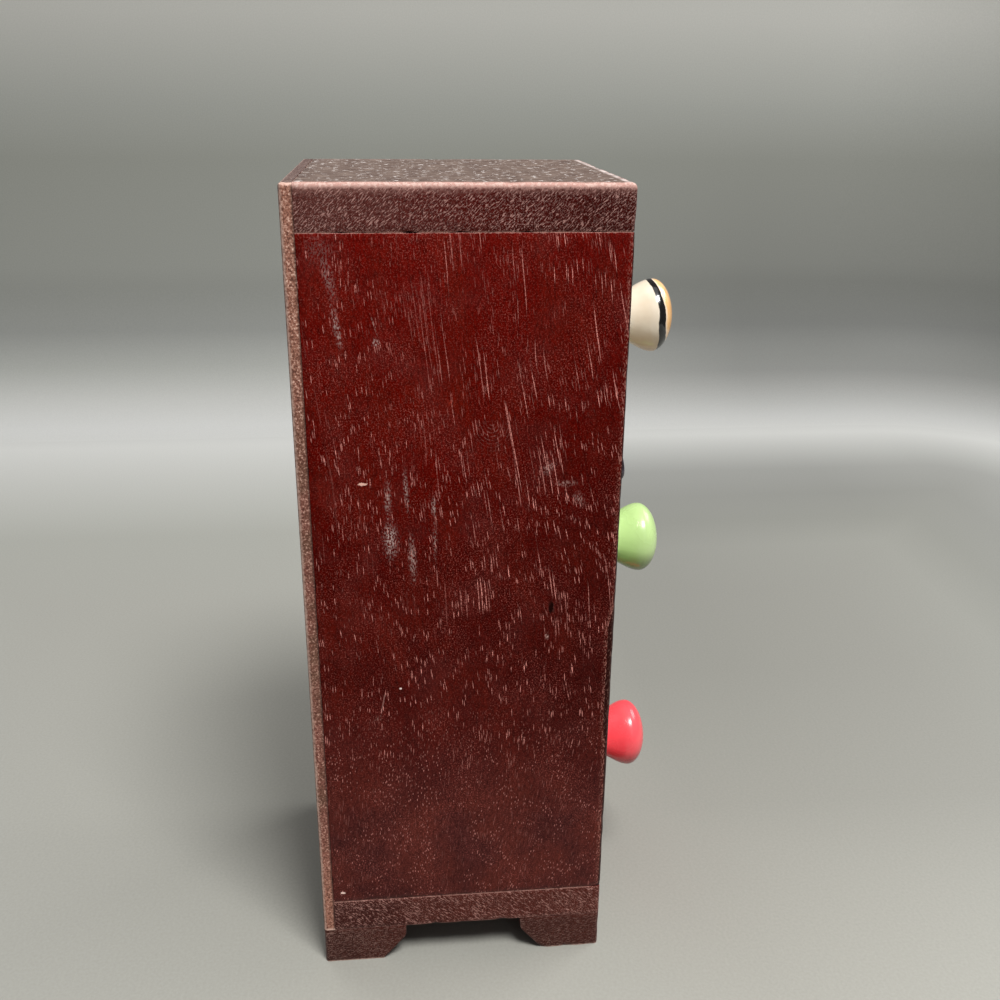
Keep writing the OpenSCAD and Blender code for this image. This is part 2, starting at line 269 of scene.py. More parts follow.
def marked(tree, place, colour, marks):
    """Colour with the marks of use. All have a gritty outline, and the torn ones are crazed."""
    grit = put(tree, NOISE, Vector=place, Scale=1.3, Detail=2)
    crazing = mottle(tree, place, (0.5, 0.5, 1.0), 0.47, 0.57, detail=3)
    for mark in marks:
        away = put(tree, VECTOR_MINUS, place, (0, mark.y, mark.z))
        _, across, up = put(tree, SPLIT, away).node.outputs
        across = put(tree, TIMES_PLUS, up, -mark.lean, across)
        away = put(tree, JOIN, 0, across, up)
        away = put(tree, VECTOR_TIMES, away, (0, 1 / mark.across, 1 / mark.up))
        away = put(tree, LENGTH, away)
        away = put(tree, TIMES_PLUS, grit, 1.1, away)
        soft = 0.4 if mark.torn else 1.1
        mask = put(tree, SOFT_RANGE, away, 1.55, soft, 0, mark.strength)
        if mark.torn:
            mask = put(tree, TIMES, mask, crazing)
        colour = put(tree, BLEND, mask, colour, linear(mark.colour))
    return colour


# Pin knot on the left side in mm: its place, and how far its rings reach and lie apart
KNOT_AT = (0, 3.0, 212.5)
RING_REACH = 9.0
RING_GAP = 0.85


def ring_figure(tree, place, colour):
    """Colour with faint arcs below the pin knot, which the plane cut across."""
    away = put(tree, VECTOR_MINUS, place, KNOT_AT)
    lift = put(tree, SPLIT, away, out="Z")
    away = put(tree, VECTOR_TIMES, away, (0, 1, 0.7))
    away = put(tree, LENGTH, away)
    turn = put(tree, TIMES, away, 2 * math.pi / RING_GAP)
    wave = put(tree, SINE, turn)
    wave = put(tree, RANGE, wave, 0.2, 1.0)
    fade = put(tree, SOFT_RANGE, away, RING_REACH, 0.3 * RING_REACH, 0, 0.4)
    lower = put(tree, RANGE, lift, 0.5, -3.0, 0.05)
    broken = mottle(tree, place, 0.9, 0.42, 0.56)
    for part in (fade, lower, broken):
        wave = put(tree, TIMES, wave, part)
    return put(tree, BLEND, wave, colour, linear("#a07068"))


# Width of the dark line of painted shade down the front edge of a side, in mm, at heights in mm, and the
# width that stands for 1 in its ramp
SHADE_LINE = ((24, 0.9), (92, 1.2), (99, 2.2), (138, 2.2), (146, 0.7), (CHEST_H, 0.55))
SHADE_LINE_FULL = 3.0


def painted_shade_front_edge(tree, place, colour, outer, front):
    """Colour of a side with a dark line of painted shade along its front edge, for its rounded corner, and
    the pale specks that wear has picked out beside it."""
    x, y, z = put(tree, SPLIT, place).node.outputs
    run = put(tree, RANGE, z, 0, CHEST_H)
    stops = [(height / CHEST_H, (wide / SHADE_LINE_FULL,) * 3 + (1.0,)) for height, wide in SHADE_LINE]
    width = put(tree, RAMP, run, stops=stops)
    width = put(tree, TIMES, width, SHADE_LINE_FULL)
    back = put(tree, MINUS, y, front)
    back = put(tree, MINUS, back, width)
    ragged = mottle(tree, place, (1, 1, 3), 0.0, 1.0, -0.5, 0.5, detail=3)
    back = put(tree, PLUS, back, ragged)
    out = put(tree, MINUS, x, outer)
    out = put(tree, UNSIGNED, out)
    outside = put(tree, RANGE, out, 2.2, 1.2)
    # Painted shade: the nearly black line along the front edge
    dark = put(tree, RANGE, back, 0.2, -0.2)
    dark = put(tree, TIMES, dark, outside)
    beside = put(tree, RANGE, back, 1.6, 0.1)
    specks = mottle(tree, place, (0.5, 0.5, 0.9), 0.53, 0.6)
    specks = put(tree, TIMES, specks, beside)
    specks = put(tree, TIMES, specks, outside)
    colour = put(tree, BLEND, specks, colour, linear("#a06c60"))
    few = mottle(tree, place, (0.5, 0.5, 1.2), 0.56, 0.64, most=0.6, seed=5)
    black = put(tree, BLEND, few, linear("#230b08"), linear("#7a5a50"))
    return put(tree, BLEND, dark, colour, black)


def stain_by_height(board, bow):
    """Colour of the stain: by height, with brown patches. Where the grain bows, it is flat and brown
    near the table, in soft clouds, and has a dull haze."""
    tree, place, z, look, seed = board.tree, board.place, board.z, board.look, board.seed
    wave = mottle(tree, place, 30, 0.0, 1.0, -22, 22, detail=3, seed=seed)
    height = put(tree, PLUS, z, wave)
    height = put(tree, RANGE, height, 0, CHEST_H)
    stops = [(at_mm / CHEST_H, linear(code)) for at_mm, code in look.reds]
    colour = put(tree, RAMP, height, stops=stops)
    brown = mottle(tree, board.fibres, (12, 12, 26), 0.45, 0.7, most=0.4, detail=5, seed=seed)
    even = put(tree, RANGE, z, 60, 120, 0.2)
    brown = put(tree, TIMES, brown, even)
    colour = put(tree, BLEND, brown, colour, linear(look.patch))
    if not bow:
        return colour
    cloud = mottle(tree, place, 26, 0.4, 0.6, detail=3, seed=seed + 8)
    suede = put(tree, BLEND, cloud, linear("#3d1c1b"), linear("#57261f"))
    low_down = put(tree, SOFT_RANGE, z, 110, 50, 0, 0.8)
    colour = put(tree, BLEND, low_down, colour, suede)
    bloom = mottle(tree, place, 16, 0.48, 0.68, most=0.22, detail=3, seed=seed + 13)
    return put(tree, BLEND, bloom, colour, linear("#5c2c29"))


def streaked(board, colour):
    """Colour with streaks 1 mm wide, darker at mid height towards the front; and the streaks."""
    tree = board.tree
    streak = mottle(tree, board.fibres, (1.1, 1.1, 28), 0.3, 0.7, 0.9, 1.1, seed=board.seed)
    forward = put(tree, RANGE, board.y, 20, -36, 0, 0.32)
    for levels in ((60, 100, 0.0, 1.0), (190, 260, 1.0, 0.35)):
        level = put(tree, RANGE, board.z, *levels)
        forward = put(tree, TIMES, forward, level)
    forward = put(tree, MINUS, 1.0, forward)
    tone = put(tree, TIMES, streak, forward)
    return put(tree, SCALED, colour, tone), streak


def end_grain(board, colour, along):
    """Colour with the end grain, which drank more stain, unevenly; and the mask of that grain."""
    tree = board.tree
    facing = put(tree, DOT, board.normal, GRAIN_AXIS[along])
    facing = put(tree, UNSIGNED, facing)
    end = put(tree, RANGE, facing, 0.55, 0.75)
    shift = mottle(tree, board.place, 9, 0.0, 1.0, -26, 26, detail=3)
    run = put(tree, PLUS, board.y, shift)
    run = put(tree, RANGE, run, board.low[1], board.high[1])
    stops = [(share, linear(code)) for share, code in zip((0.15, 0.5, 0.85), board.look.ends)]
    ends = put(tree, RAMP, run, stops=stops)
    return put(tree, BLEND, end, colour, ends), end


def gritty(board, colour):
    """Colour with grit on crinkled varnish; and the grit. Its grains are smaller on a real board, and
    are drawn at a size that shows."""
    tree, look, seed = board.tree, board.look, board.seed
    haze = mottle(tree, board.place, 18, 0.42, 0.62, 0.35 * look.grit, look.grit, detail=4, seed=seed + 2)
    grit = put(tree, NOISE, Vector=board.place, Scale=1 / GRIT, Detail=2, Roughness=0.7)
    crinkle = mottle(tree, board.fibres, (0.9, 0.9, 1.6), 0.32, 0.68, 0.55, 1.3, detail=4, seed=seed + 6)
    colour = put(tree, SCALED, colour, crinkle)
    pale = put(tree, RANGE, grit, 0.53, 0.7, 0, haze)
    return put(tree, BLEND, pale, colour, linear(look.specks[1])), grit


def open_grain(board, end):
    """Masks of a board's pores and of the stain beside them, which the end grain lacks: beaded dashes
    3 mm long, dotted lines of 35 mm high up towards the front, and dots near the table."""
    tree, y, z = board.tree, board.y, board.z
    crowd = mottle(tree, board.place, 12, 0.36, 0.58, 0.5, 1.0, detail=3, seed=board.seed + 4)
    upper = put(tree, SOFT_RANGE, z, 72, 112, 0.2)
    crowd = put(tree, TIMES, crowd, upper)
    # There are fewer near the top, but for the back
    calm = put(tree, RANGE, z, 175, 235, 0, 0.6)
    inward = put(tree, RANGE, y, 48, 30)
    calm = put(tree, TIMES, calm, inward)
    calm = put(tree, MINUS, 1.0, calm)
    crowd = put(tree, TIMES, crowd, calm)
    ahead = put(tree, RANGE, y, 30, 0, 0.1)
    high_up = put(tree, SOFT_RANGE, z, 120, 160)
    ahead = put(tree, TIMES, ahead, high_up)
    lower = put(tree, SOFT_RANGE, z, 120, 80, 0, 0.7)
    beads = mottle(tree, board.fibres, (1, 1, 0.6), 0.4, 0.52, 0.2)
    # Width and length of the cells in mm, the share of them with a pore, where, and how beaded
    kinds = (
        (0.52, 6.0, 0.42, crowd, beads),
        (0.62, 70, 0.4, ahead, beads),
        (0.55, 1.8, 0.3, lower, 0.8),
    )
    open_pores, rims = 0.0, 0.0
    for wide, long, kept, shown, beaded in kinds:
        spots, gathered = pores(tree, board.fibres, wide, long, kept, board.seed + long)
        shown = put(tree, TIMES, shown, beaded)
        spots = put(tree, TIMES, spots, shown)
        gathered = put(tree, TIMES, gathered, shown)
        open_pores = put(tree, GREATER, open_pores, spots)
        rims = put(tree, GREATER, rims, gathered)
    return open_pores, put(tree, LEFT_OVER, rims, end)


def saw_strokes(board, end):
    """Mask of the short strokes that the teeth of the saw left on the end grain."""
    strokes = mottle(
        board.tree, board.place, (0.36, 0.36, 1.6), 0.56, 0.64, most=board.look.cut,
        seed=board.seed + 9, lean=math.radians(board.look.lean))
    return put(board.tree, TIMES, strokes, end)


def dust_and_sheen_face(board, colour, open_pores, dust_and_sheen):
    """Colour with a dull grey upper face, part dust and part painted sheen, scuffed from front to back and
    rubbed along the nose at the front; and the pores that are left to see."""
    tree, place = board.tree, board.place
    up = put(tree, SPLIT, board.normal, out="Z")
    up = put(tree, RANGE, up, 0.6, 0.9, 0, dust_and_sheen)
    # Dust and painted sheen: a grey laid over the upper face
    drawn = mottle(tree, place, (2.2, 7, 2), 0.36, 0.64, detail=4)
    dust_and_sheen_colour = put(tree, BLEND, drawn, linear("#4c3e36"), linear("#84756a"))
    colour = put(tree, BLEND, up, colour, dust_and_sheen_colour)
    hidden = put(tree, MINUS, 1.0, up)
    open_pores = put(tree, TIMES, open_pores, hidden)
    scuffs = mottle(tree, place, (1.7, 2.8, 2), 0.62, 0.635, detail=3, seed=board.seed + 11)
    nose = put(tree, RANGE, board.y, board.low[1] + 3.6, board.low[1] + 2.8)
    nose = put(tree, TIMES, nose, drawn)
    scuffs = put(tree, GREATER, scuffs, nose)
    scuffs = put(tree, TIMES, scuffs, up)
    return put(tree, BLEND, scuffs, colour, linear("#efe7e2")), open_pores


def stained_wood(name, node, along, look, seed=0.0, bow=0.0, marks=(), shaded_front_line=False, dust_and_sheen=0.0):
    """Varnished, red-stained hardwood: open pores that the stain left pale, gritty brown patches,
    and edges rubbed through to the pinkish wood. It gives the eye a satin red full of pale dashes."""
    material, tree, shader = finish(name)
    low, high = box_in_mm(node)
    place = in_mm(tree)
    _, y, z = put(tree, SPLIT, place).node.outputs
    fibres = lie_of_grain(tree, place, along, bow)
    normal = put(tree, COORDS, out="Normal")
    board = Board(tree, place, y, z, fibres, normal, low, high, look, seed)

    colour = stain_by_height(board, bow)
    colour, streak = streaked(board, colour)
    colour, end = end_grain(board, colour, along)
    colour, grit = gritty(board, colour)
    open_pores, rims = open_grain(board, end)
    colour = put(tree, BLEND, rims, colour, linear("#1c0202"))
    long_grain = put(tree, MINUS, 1.0, end)
    open_pores = put(tree, TIMES_PLUS, open_pores, long_grain, saw_strokes(board, end))
    colour = put(tree, BLEND, open_pores, colour, linear(look.specks[0]))
    if dust_and_sheen:
        colour, open_pores = dust_and_sheen_face(board, colour, open_pores, dust_and_sheen)
    if marks:
        colour = marked(tree, place, colour, marks)
        colour = ring_figure(tree, place, colour)
    # A dark line down the front edge, painted as the shade of its rounded corner
    if shaded_front_line:
        outer = low[0] if low[0] < 0 else high[0]
        colour = painted_shade_front_edge(tree, place, colour, outer, low[1])
    worn = 0.0
    for rub in look.rubs:
        rubbed = edge_wear(tree, place, (low, high), rub)
        colour = put(tree, BLEND, rubbed, colour, linear(rub.colour))
        worn = put(tree, GREATER, worn, rubbed)

    rough = put(tree, TIMES_PLUS, open_pores, 0.2, 0.42)
    rough = put(tree, TIMES_PLUS, worn, 0.2, rough)
    relief = put(tree, TIMES_PLUS, open_pores, -1.0, streak)
    relief = put(tree, TIMES_PLUS, grit, 0.8, relief)
    bump = put(tree, BUMP, Height=relief, Strength=0.6, Distance=0.08 * MM)
    set_shader(tree, shader, Base_Color=colour, Roughness=rough, Normal=bump)
    # The stain in the varnish tints the sheen
    set_shader(tree, shader, Specular_IOR_Level=0.4, Specular_Tint=linear("#a02018"))
    return material


def back_board(name, node):
    """Thin plywood with a wash of the same stain: a gritty pinkish brown on its sawn edges and a
    flat reddish brown on its back."""
    material, tree, shader = finish(name)
    low, high = box_in_mm(node)
    place = in_mm(tree)
    _, y, z = put(tree, SPLIT, place).node.outputs
    normal = put(tree, COORDS, out="Normal")
    facing = put(tree, SPLIT, normal, out="Y")
    face = put(tree, RANGE, facing, 0.5, 0.8)
    grain = mottle(tree, place, (2.2, 2.2, 34), 0.35, 0.66, detail=4)
    back = put(tree, BLEND, grain, linear("#4a1c17"), linear("#64332a"))
    zone = mottle(tree, place, 14, 0.4, 0.6, detail=3)
    sawn = put(tree, BLEND, zone, linear("#865145"), linear("#6e4a3a"))
    pinker = put(tree, RANGE, z, 60, 30)
    sawn = put(tree, BLEND, pinker, sawn, linear("#a06c59"))
    paler = put(tree, RANGE, z, 190, 245, 0, 0.8)
    sawn = put(tree, BLEND, paler, sawn, linear("#a36e5a"))
    grit = put(tree, NOISE, Vector=place, Scale=1 / PLY_GRIT, Detail=3, Roughness=0.7)
    dark = put(tree, RANGE, grit, 0.5, 0.38, 0, 0.85)
    sawn = put(tree, BLEND, dark, sawn, linear("#4c261d"))
    pale = put(tree, RANGE, grit, 0.54, 0.68, 0, 0.9)
    fleck = put(tree, BLEND, paler, linear("#d6aa98"), linear("#f8d2be"))
    sawn = put(tree, BLEND, pale, sawn, fleck)
    colour = put(tree, BLEND, face, sawn, back)
    # A dark line of stain where the panel meets the boards
    seam = put(tree, RANGE, y, low[1] + 0.7, low[1] + 0.2, 0, 0.6)
    colour = put(tree, BLEND, seam, colour, linear("#2a1210"))
    # Its top is dull grey like the board's, part dust and part painted sheen, and only its outer edges are
    # worn pale
    up = put(tree, SPLIT, normal, out="Z")
    up = put(tree, RANGE, up, 0.6, 0.9, 0, 0.9)
    dull = put(tree, BLEND, pale, linear("#453531"), linear("#a8958c"))
    colour = put(tree, BLEND, up, colour, dull)
    rub = Rub("#dcb6a6", 1.2, 0.9, 0.8, "all")
    worn = edge_wear(tree, place, ((low[0], low[1] - FAR, low[2]), high), rub)
    colour = put(tree, BLEND, worn, colour, linear(rub.colour))
    bump = put(tree, BUMP, Height=grit, Strength=0.7, Distance=0.12 * MM)
    set_shader(tree, shader, Base_Color=colour, Roughness=0.7, Normal=bump, Specular_IOR_Level=0.3)
    return material


def beech(name):
    """Plain beech dowel: pale, with short darker rays."""
    material, tree, shader = finish(name)
    place = in_mm(tree)
    rays = mottle(tree, place, (0.5, 0.5, 4), 0.3, 0.7)
    colour = put(tree, BLEND, rays, linear("#c9a277"), linear("#a87f55"))
    set_shader(tree, shader, Base_Color=colour, Roughness=0.6)
    return material


def varnish(name):
    """A run of varnish and stain that dried on an edge: nearly black, smooth and glossy."""
    material, tree, shader = finish(name)
    place = in_mm(tree)
    depth = mottle(tree, place, 1.6, 0.3, 0.7)
    colour = put(tree, BLEND, depth, linear("#1c1216"), linear("#3f353e"))
    set_shader(tree, shader, Base_Color=colour, Roughness=0.22, Coat_Weight=0.5, Coat_Roughness=0.1)
    return material


# ---------------------------------------------------------------- steel

# Pitch in mm of the threads on the studs
PITCH = 0.7


def steel(name, tint, dull, pitch=0.0):
    """Zinc-plated or bright mild steel: a grey metal with a cloudy plating, and with the ridges of a
    thread where a pitch in mm is given."""
    material, tree, shader = finish(name)
    place = in_mm(tree)
    cloud = mottle(tree, place, 1.2, 0.3, 0.7, detail=3)
    colour = put(tree, BLEND, cloud, linear(tint), linear(dull))
    rough = put(tree, RANGE, cloud, 0, 1, 0.25, 0.5)
    set_shader(tree, shader, Base_Color=colour, Metallic=1.0, Roughness=rough)
    if pitch:
        along = put(tree, SPLIT, place, out="Y")
        turn = put(tree, TIMES, along, 2 * math.pi / pitch)
        ridge = put(tree, SINE, turn)
        bump = put(tree, BUMP, Height=ridge, Strength=1, Distance=0.15 * MM)
        set_shader(tree, shader, Normal=bump)
    return material


# ---------------------------------------------------------------- glaze

# Glaze in mm: size of its pools and ripples, the cells of which some hold a pinhole, and their share
POOL = 14
RIPPLE = 6
PINHOLE_CELL = 2.6
PINHOLES = 0.12
# Grains in mm of the bare clay
SAND = 0.6


def glaze(name, node, hue, deep, thin, specks=0.0, paint=None, gloss=1.0):
    """Glazed earthenware: an opaque, glassy coat that pools a little deeper in places, runs thin and
    pale over the edges, and has faint ripples and a pinhole here and there."""
    material, tree, shader = finish(name)
    box = box_in_mm(node)
    place = in_mm(tree)
    pool = mottle(tree, place, POOL, 0.35, 0.7, detail=3)
    colour = put(tree, BLEND, pool, linear(hue), linear(deep))
    if paint:
        colour = paint(tree, place, colour, box)
    else:
        worn = edge_wear(tree, place, box, Rub(thin, 1.6, 0.5, 0.3, "all"))
        colour = put(tree, BLEND, worn, colour, linear(thin))
    cells = put(tree, VORONOI, Vector=place, Scale=1 / PINHOLE_CELL)
    luck = put(tree, SPLIT, cells.node.outputs["Color"])
    chosen = put(tree, BELOW, luck, PINHOLES)
    hole = put(tree, SOFT_RANGE, cells, 0.1, 0.05)
    hole = put(tree, TIMES, hole, chosen)
    spot = put(tree, TIMES, hole, specks)
    colour = put(tree, BLEND, spot, colour, linear("#6e5238"))
    ripple = put(tree, NOISE, Vector=place, Scale=1 / RIPPLE, Detail=2)
    relief = put(tree, TIMES_PLUS, hole, -0.5, ripple)
    bump = put(tree, BUMP, Height=relief, Strength=0.4, Distance=0.25 * MM)
    rough = put(tree, RANGE, pool, 0, 1, 0.32 - 0.18 * gloss, 0.4 - 0.18 * gloss)
    set_shader(tree, shader, Base_Color=colour, Roughness=rough, Normal=bump)
    set_shader(tree, shader, Coat_Weight=0.3 * gloss, Coat_Roughness=0.08)
    return material


def plain_knob_with_painted_shade(tree, place, colour, box):
    """No decoration; painted shade makes the colour much darker from the middle of the knob down."""
    (_, _, bottom), (_, _, top) = box
    z = put(tree, SPLIT, place, out="Z")
    # Painted shade: the colour falls to a fifth from just below the middle to near the bottom
    under = put(tree, RANGE, z, (bottom + top) / 2 - 1, bottom + 2, 1.0, 0.2)
    return put(tree, SCALED, colour, under)


# Painted band of the cream knob in mm: its place out from the drawer, its width, the bare rim beyond
# it, how soft its edges are, and what it drifts, bends, swerves and widens by on its way up
BAND_L = 18.8
BAND_W = 2.65
BARE_RIM = 0.3
BAND_SOFT = 0.12
BAND_DRIFT = 1.95
BAND_BEND = 0.55
BAND_SWERVE = -3.2
BAND_WIDENS = -0.65


def banded_knob(tree, place, colour, box):
    """Hand painting on the cream knob: a black band round the head, which drifts outwards and gets wider
    towards the bottom, a rim left bare, and a peach cap; and painted shade in tan towards the bottom of
    the knob."""
    (_, _, bottom), (_, drawer_y, top) = box
    _, y, z = put(tree, SPLIT, place).node.outputs
    out = put(tree, MINUS, drawer_y, y)
    rise = put(tree, RANGE, z, bottom, top, -1.0, 1.0)
    square = put(tree, TIMES, rise, rise)
    out = put(tree, TIMES_PLUS, rise, BAND_DRIFT, out)
    out = put(tree, TIMES_PLUS, square, BAND_BEND, out)
    above = put(tree, GREATER, rise, 0.0)
    swerve = put(tree, TIMES_PLUS, above, -1.0, 1.0)
    swerve = put(tree, TIMES, swerve, above)
    out = put(tree, TIMES_PLUS, swerve, BAND_SWERVE, out)
    waver = mottle(tree, place, 5, 0.0, 1.0, -0.5, 0.5)
    out = put(tree, PLUS, out, waver)
    # Painted shade: the cream turns tan towards the bottom of the knob
    painted_low_shade = put(tree, RANGE, rise, -0.2, -0.9, 0, 0.7)
    colour = put(tree, BLEND, painted_low_shade, colour, linear("#b58e68"))
    wide = put(tree, TIMES_PLUS, rise, BAND_WIDENS, BAND_W)
    past = put(tree, MINUS, out, BAND_L)
    black = put(tree, RANGE, past, -BAND_SOFT, BAND_SOFT)
    past = put(tree, MINUS, past, wide)
    bare = put(tree, RANGE, past, -BAND_SOFT, BAND_SOFT)
    cap = put(tree, RANGE, past, BARE_RIM - 0.3, BARE_RIM + 0.5)
    brushed = mottle(tree, place, (3, 3, 7), 0.3, 0.7, detail=3)
    peach = put(tree, BLEND, brushed, linear("#f2c892"), linear("#e2a866"))
    colour = put(tree, BLEND, black, colour, linear("#110e0d"))
    colour = put(tree, BLEND, bare, colour, linear("#f0dcc4"))
    return put(tree, BLEND, cap, colour, peach)


def biscuit(name):
    """Unglazed earthenware under a drawer: chalky, sandy and dull."""
    material, tree, shader = finish(name)
    place = in_mm(tree)
    sand = put(tree, NOISE, Vector=place, Scale=1 / SAND, Detail=3)
    colour = put(tree, BLEND, sand, linear("#e3d6c0"), linear("#c2ad8e"))
    bump = put(tree, BUMP, Height=sand, Strength=0.6, Distance=0.1 * MM)
    set_shader(tree, shader, Base_Color=colour, Roughness=0.85, Normal=bump)
    return material


# ---------------------------------------------------------------- shapes

# Faces that meet at less than the first look smooth, and an edge that turns by more than the second
# is still to be eased
SMOOTH = math.radians(38)
UNEASED = math.radians(50)

# Sizes in mm: what counts as the same place, what is joined, and how far apart knocks lie
SAME = 0.01
JOINED = 0.002
KNOCK_SIZE = 5.0


def add(name, data):
    """Put a mesh, a lamp or a camera in the scene."""
    made = bpy.data.objects.new(name, data)
    bpy.context.scene.collection.objects.link(made)
    return made


def mesh_of(name, bm, finishes):
    """Mesh with its finishes, made from a bmesh, which it uses up."""
    mesh = bpy.data.meshes.new(name)
    bm.to_mesh(mesh)
    bm.free()
    for material in finishes:
        mesh.materials.append(material)
    return mesh


def piece(name, bm, body, finishes, stands_for):
    """Make the piece of a bmesh, which rides on its body and stands for its CAD nodes."""
    bmesh.ops.recalc_face_normals(bm, faces=bm.faces)
    mesh = mesh_of(name, bm, finishes)
    mesh.shade_smooth()
    mesh.set_sharp_from_angle(angle=SMOOTH)
    made = add(name, mesh)
    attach(made, body)
    if stands_for:
        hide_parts(*stands_for)


def block(low, high):
    """A plain block between two corners, to be shaped."""
    bm = bmesh.new()
    size = Matrix.Diagonal((*(high - low), 1))
    bmesh.ops.create_cube(bm, size=1, matrix=Matrix.Translation((low + high) / 2) @ size)
    return bm


def at(value, target):
    """Whether two distances are the same."""
    return abs(value - target) < SAME * MM


def runs_along(edge, axis):
    """Whether the ends of an edge differ along an axis."""
    return not at(*(vert.co[axis] for vert in edge.verts))


def edges(bm, test):
    """Edges with both ends where the test says."""
    return [edge for edge in bm.edges if all(test(vert.co) for vert in edge.verts)]


def sharp_edges(bm):
    """Edges that no router has eased yet."""
    return [edge for edge in bm.edges if edge.is_manifold and edge.calc_face_angle() > UNEASED]


def corners_at(bm, height):
    """Sharp corners that lie level at a height."""
    return [edge for edge in edges(bm, lambda co: at(co.z, height)) if edge.calc_face_angle() > 1]


def ease(bm, chosen, radius, segments):
    """Round edges over to a radius in mm."""
    bmesh.ops.bevel(
        bm, geom=chosen, offset=radius * MM, offset_type="OFFSET", affect="EDGES",
        segments=segments, profile=0.5, clamp_overlap=True, material=-1)


def pull(bm, faces, way, keep=False):
    """Pull faces out by a vector, with walls behind them; a lone face is kept to close the start."""
    grown = bmesh.ops.extrude_face_region(bm, geom=faces, use_keep_orig=keep)["geom"]
    if not keep:
        bmesh.ops.delete(bm, geom=[face for face in faces if face.is_valid], context="FACES")
    verts = [item for item in grown if isinstance(item, bmesh.types.BMVert)]
    bmesh.ops.translate(bm, verts=verts, vec=way)
    bmesh.ops.recalc_face_normals(bm, faces=bm.faces)


def cut(bm, spot, normal, **settings):
    """Cut all faces along the plane at a spot."""
    everything = bm.verts[:] + bm.edges[:] + bm.faces[:]
    bmesh.ops.bisect_plane(bm, geom=everything, dist=1e-7, plane_co=spot, plane_no=normal, **settings)


def grid(bm, low, high, counts):
    """Cut the faces into so many strips along X, Y and Z."""
    for axis, count in enumerate(counts):
        normal = Vector((0, 0, 0))
        normal[axis] = 1
        for step in range(1, count):
            cut(bm, low.lerp(high, step / count), normal)


def knock(bm, low, high, counts, depth, reach):
    """Cut the faces of a block into a grid, and dent its edges inwards here and there, by up to
    depth mm and within reach mm of them."""
    grid(bm, low, high, counts)
    middle = (low + high) / 2
    for vert in bm.verts:
        from_low, from_high = vert.co - low, high - vert.co
        near = sorted((min(from_low[axis], from_high[axis]), axis) for axis in range(3))
        edge = near[1][0] / MM
        if edge < reach:
            dent = max(0.0, noise.noise(vert.co / (KNOCK_SIZE * MM)) - 0.05)
            amount = dent * depth * MM * (1 - edge / reach)
            for _, axis in near[:2]:
                vert.co[axis] += math.copysign(amount, middle[axis] - vert.co[axis])


# Radii of the case in mm: eased corners, the front edge of the top board, and the arris of a sawn edge
EDGE_R = 1.4
NOSE_R = 1.8
ARRIS_R = 0.25


def top_board(finishes):
    """The lapping top, rounded along its front and a little less round its ends."""
    low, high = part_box("top_board")
    bm = block(low, high)
    ease(bm, edges(bm, lambda co: at(co.y, low.y) and at(co.z, high.z)), NOSE_R, 6)
    for end in (low.x, high.x):
        outline = edges(bm, lambda co: at(co.x, end))
        outline = [edge for edge in outline if not all(at(vert.co.z, low.z) for vert in edge.verts)]
        outline = [edge for edge in outline if not all(at(vert.co.y, high.y) for vert in edge.verts)]
        ease(bm, outline, EDGE_R, 4)
    ease(bm, sharp_edges(bm), ARRIS_R, 2)
    knock(bm, low, high, (40, 40, 6), 0.6, 2.5)
    piece("top_board_dressed", bm, "chest", finishes, ["top_board"])


def bottom_board(finishes):
    """The board that the feet hold, with its front corners rounded."""
    low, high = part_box("bottom_board")
    bm = block(low, high)
    front = edges(bm, lambda co: at(co.y, low.y))
    ease(bm, [edge for edge in front if runs_along(edge, 2)], EDGE_R, 4)
    ease(bm, sharp_edges(bm), ARRIS_R, 2)
    knock(bm, low, high, (30, 40, 6), 0.5, 2.0)
    piece("bottom_board_dressed", bm, "chest", finishes, ["bottom_board"])


# Depth of the housings in the sides
HOUSING = 3 * MM


def side_board(node, finishes):
    """A side with its two housings, which the shelves sit in."""
    low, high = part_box(node)
    inner, outer = (high.x, low.x) if low.x < 0 else (low.x, high.x)
    bottom_of_housing = inner + math.copysign(HOUSING, outer)
    bm = bmesh.new()
    outline = [(outer, low.z), (outer, high.z), (inner, high.z)]
    for shelf_node in ("upper_shelf", "lower_shelf"):
        under, over = (corner.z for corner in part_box(shelf_node))
        outline += [(inner, over), (bottom_of_housing, over), (bottom_of_housing, under), (inner, under)]
    outline.append((inner, low.z))
    front = bm.faces.new([bm.verts.new((x, low.y, z)) for x, z in outline])
    pull(bm, [front], (0, high.y - low.y, 0), keep=True)
    ease(bm, edges(bm, lambda co: at(co.x, outer) and at(co.y, low.y)), EDGE_R, 4)
    ease(bm, sharp_edges(bm), ARRIS_R, 2)
    knock(bm, low, high, (4, 30, 110), 0.5, 2.0)
    piece(node + "_dressed", bm, "chest", finishes, [node])


def shelf(node, finishes):
    """A shelf, with its long edges knocked a little."""
    low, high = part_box(node)
    bm = block(low, high)
    ease(bm, sharp_edges(bm), ARRIS_R, 2)
    knock(bm, low, high, (24, 1, 1), 0.4, 1.2)
    piece(node + "_dressed", bm, "chest", finishes, [node])


# Feet in mm: height of the slope, distance that the toe stands in, radius between the two
SLOPE_H = 10.4
TOE = 8.6
FOOT_NOSE_R = 1.2


